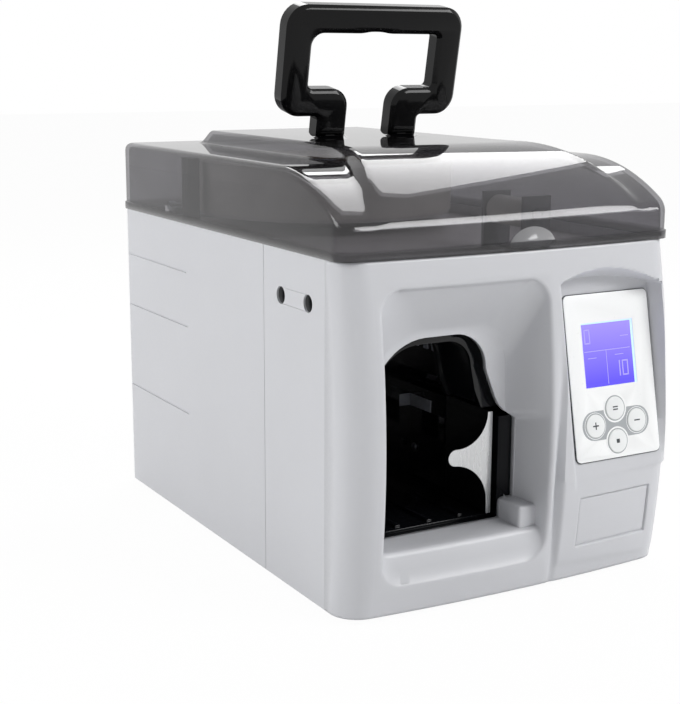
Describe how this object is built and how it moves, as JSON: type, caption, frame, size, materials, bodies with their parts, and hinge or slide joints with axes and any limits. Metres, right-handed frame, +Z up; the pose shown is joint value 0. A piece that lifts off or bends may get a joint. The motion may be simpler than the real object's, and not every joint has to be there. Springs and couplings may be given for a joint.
{
  "type": "banknote strapping machine",
  "caption": "Countertop machine that wraps a paper band round a wad of banknotes pushed into its front slot, with a smoked lid over the tape roll and a folding carry handle.",
  "frame": {"origin": "middle of the machine's footprint on the table it stands on", "axes": "+X to the right seen from the front, +Y to the back, +Z up"},
  "size_m": [0.21, 0.3039, 0.314],
  "materials": {
    "housing_plastic": "satin",
    "base_steel": "satin",
    "rubber_feet": "matt",
    "screw_steel": "oiled",
    "deck_plastic": "satin",
    "black_plastic": "gloss",
    "sensor_lens": "gloss",
    "frame_steel": "zinc plated",
    "bush_brass": "sintered",
    "block_aluminium": "milled",
    "spring_steel": "oiled",
    "motor_steel": "drawn",
    "circuit_board": "solder mask",
    "display": "backlit",
    "panel_film": "satin film",
    "supply_steel": "zinc",
    "lid_smoke": "smoked clear polycarbonate",
    "handle_plastic": "gloss",
    "card_core": "plain",
    "tape_paper": "plain",
    "acetal": "satin",
    "slide_steel": "ground",
    "heater_brass": "brushed",
    "anvil_steel": "polished",
    "carriage_plastic": "satin",
    "roller_rubber": "matt",
    "roller_steel": "turned",
    "button_plastic": "satin",
    "rocker_plastic": "gloss"
  },
  "bodies": {
    "case": {"front_housing": "housing_plastic", "rear_housing": "housing_plastic", "base_plate": "base_steel", "feet": "rubber_feet", "base_screws": "screw_steel", "side_screws": "screw_steel", "top_deck": "deck_plastic", "slot_liner": "black_plastic", "guide_arch": "black_plastic", "note_table": "black_plastic", "note_sensors": "sensor_lens", "frame_front": "frame_steel", "frame_rear": "frame_steel", "frame_ties": "frame_steel", "shaft_bushes": "bush_brass", "head_block": "block_aluminium", "tail_guide": "frame_steel", "slide_springs": "spring_steel", "gear_motor": "motor_steel", "feed_motor": "motor_steel", "control_board": "circuit_board", "display_module": "display", "panel_plate": "panel_film", "power_supply": "supply_steel", "power_inlet": "black_plastic", "switch_frame": "black_plastic", "roll_spindle": "frame_steel", "twist_guide": "black_plastic", "anvil_rods": "frame_steel", "rod_bracket": "frame_steel", "hinge_brackets": "frame_steel", "hinge_pins": "frame_steel"},
    "lid_body": {"lid": "lid_smoke", "handle_lugs": "handle_plastic", "lug_screws": "screw_steel", "handle_pins": "frame_steel"},
    "handle_body": {"handle": "handle_plastic"},
    "roll": {"roll_plate": "deck_plastic", "roll_core": "card_core", "tape_roll": "tape_paper"},
    "turn_roller": {"guide_roller": "acetal"},
    "cam_body": {"camshaft": "frame_steel", "cams": "acetal", "cam_wheel": "acetal"},
    "pinion_body": {"motor_pinion": "bush_brass"},
    "clamp": {"clamp_slide": "slide_steel"},
    "heater": {"heater_slide": "slide_steel", "heater_tip": "heater_brass"},
    "cutter": {"cutter_slide": "slide_steel", "cutter_blade": "slide_steel"},
    "anvil": {"tape_anvil": "anvil_steel", "anvil_carriage": "carriage_plastic"},
    "feeder": {"feed_roller": "roller_rubber"},
    "pinch_lever": {"pinch_arm": "carriage_plastic"},
    "pinch": {"pinch_roller": "roller_steel"},
    "key_upper": {"button_upper": "button_plastic"},
    "key_lower": {"button_lower": "button_plastic"},
    "key_left": {"button_left": "button_plastic"},
    "key_right": {"button_right": "button_plastic"},
    "rocker": {"power_rocker": "rocker_plastic"}
  },
  "joints": [
    {"name": "lid_hinge", "type": "hinge", "parent": "case", "child": "lid_body", "pos_m": [0, 0.149, 0.185], "axis": [-1, 0, 0], "range_deg": [0, 100]},
    {"name": "handle_swivel", "type": "hinge", "parent": "lid_body", "child": "handle_body", "pos_m": [0, 0.021, 0.2446], "axis": [-1, 0, 0], "range_deg": [0, 98]},
    {"name": "roll_spin", "type": "hinge", "parent": "case", "child": "roll", "pos_m": [-0.002, 0.065, 0.1867], "axis": [0, 0, 1], "continuous": true},
    {"name": "turn_roller_spin", "type": "hinge", "parent": "case", "child": "turn_roller", "pos_m": [0.027, -0.098, 0.1997], "axis": [0, 1, 0], "continuous": true},
    {"name": "cam_turn", "type": "hinge", "parent": "case", "child": "cam_body", "pos_m": [0.084, -0.098, 0.072], "axis": [0, 1, 0], "range_deg": [0, 240]},
    {"name": "motor_turn", "type": "hinge", "parent": "case", "child": "pinion_body", "pos_m": [0.084, -0.098, 0.0509], "axis": [0, 1, 0], "range_deg": [-482, 2]},
    {"name": "clamp_stroke", "type": "slide", "parent": "case", "child": "clamp", "axis": [-1, 0, 0], "range_m": [0, 0.008], "deforming": ["slide_springs"]},
    {"name": "heater_stroke", "type": "slide", "parent": "case", "child": "heater", "axis": [-1, 0, 0], "range_m": [0, 0.00801]},
    {"name": "cutter_stroke", "type": "slide", "parent": "case", "child": "cutter", "axis": [-1, 0, 0], "range_m": [0, 0.00801]},
    {"name": "anvil_retract", "type": "slide", "parent": "case", "child": "anvil", "axis": [0, 1, 0], "range_m": [0, 0.03]},
    {"name": "feed_turn", "type": "hinge", "parent": "case", "child": "feeder", "pos_m": [0.0281, -0.098, 0.132], "axis": [0, 1, 0], "continuous": true},
    {"name": "pinch_open", "type": "hinge", "parent": "case", "child": "pinch_lever", "pos_m": [0.012, -0.098, 0.158], "axis": [0, 1, 0], "range_deg": [0, 8], "stiffness_Nm_per_rad": 0.3, "springref_deg": -20.05},
    {"name": "pinch_turn", "type": "hinge", "parent": "pinch_lever", "child": "pinch", "pos_m": [0.0119, -0.098, 0.132], "axis": [0, 1, 0], "continuous": true},
    {"name": "press_upper", "type": "slide", "parent": "case", "child": "key_upper", "axis": [0, 0.9799, -0.1994], "range_m": [0, 0.0008], "stiffness_N_per_m": 600, "springref_m": -0.0006},
    {"name": "press_lower", "type": "slide", "parent": "case", "child": "key_lower", "axis": [0, 0.9799, -0.1994], "range_m": [0, 0.0008], "stiffness_N_per_m": 600, "springref_m": -0.0006},
    {"name": "press_left", "type": "slide", "parent": "case", "child": "key_left", "axis": [0, 0.9799, -0.1994], "range_m": [0, 0.0008], "stiffness_N_per_m": 600, "springref_m": -0.0006},
    {"name": "press_right", "type": "slide", "parent": "case", "child": "key_right", "axis": [0, 0.9799, -0.1994], "range_m": [0, 0.0008], "stiffness_N_per_m": 600, "springref_m": -0.0006},
    {"name": "power_rock", "type": "hinge", "parent": "case", "child": "rocker", "pos_m": [-0.026, 0.1414, 0.034], "axis": [1, 0, 0], "range_deg": [-10, 10]}
  ],
  "couplings": [
    {"joint": "cam_turn", "follows": "clamp_stroke", "rad_per_m": 523.6},
    {"joint": "motor_turn", "follows": "clamp_stroke", "rad_per_m": -1047.2},
    {"joint": "heater_stroke", "follows": "clamp_stroke", "ratio": 1},
    {"joint": "cutter_stroke", "follows": "clamp_stroke", "ratio": 1},
    {"joint": "pinch_turn", "follows": "feed_turn", "ratio": -1.2857}
  ]
}
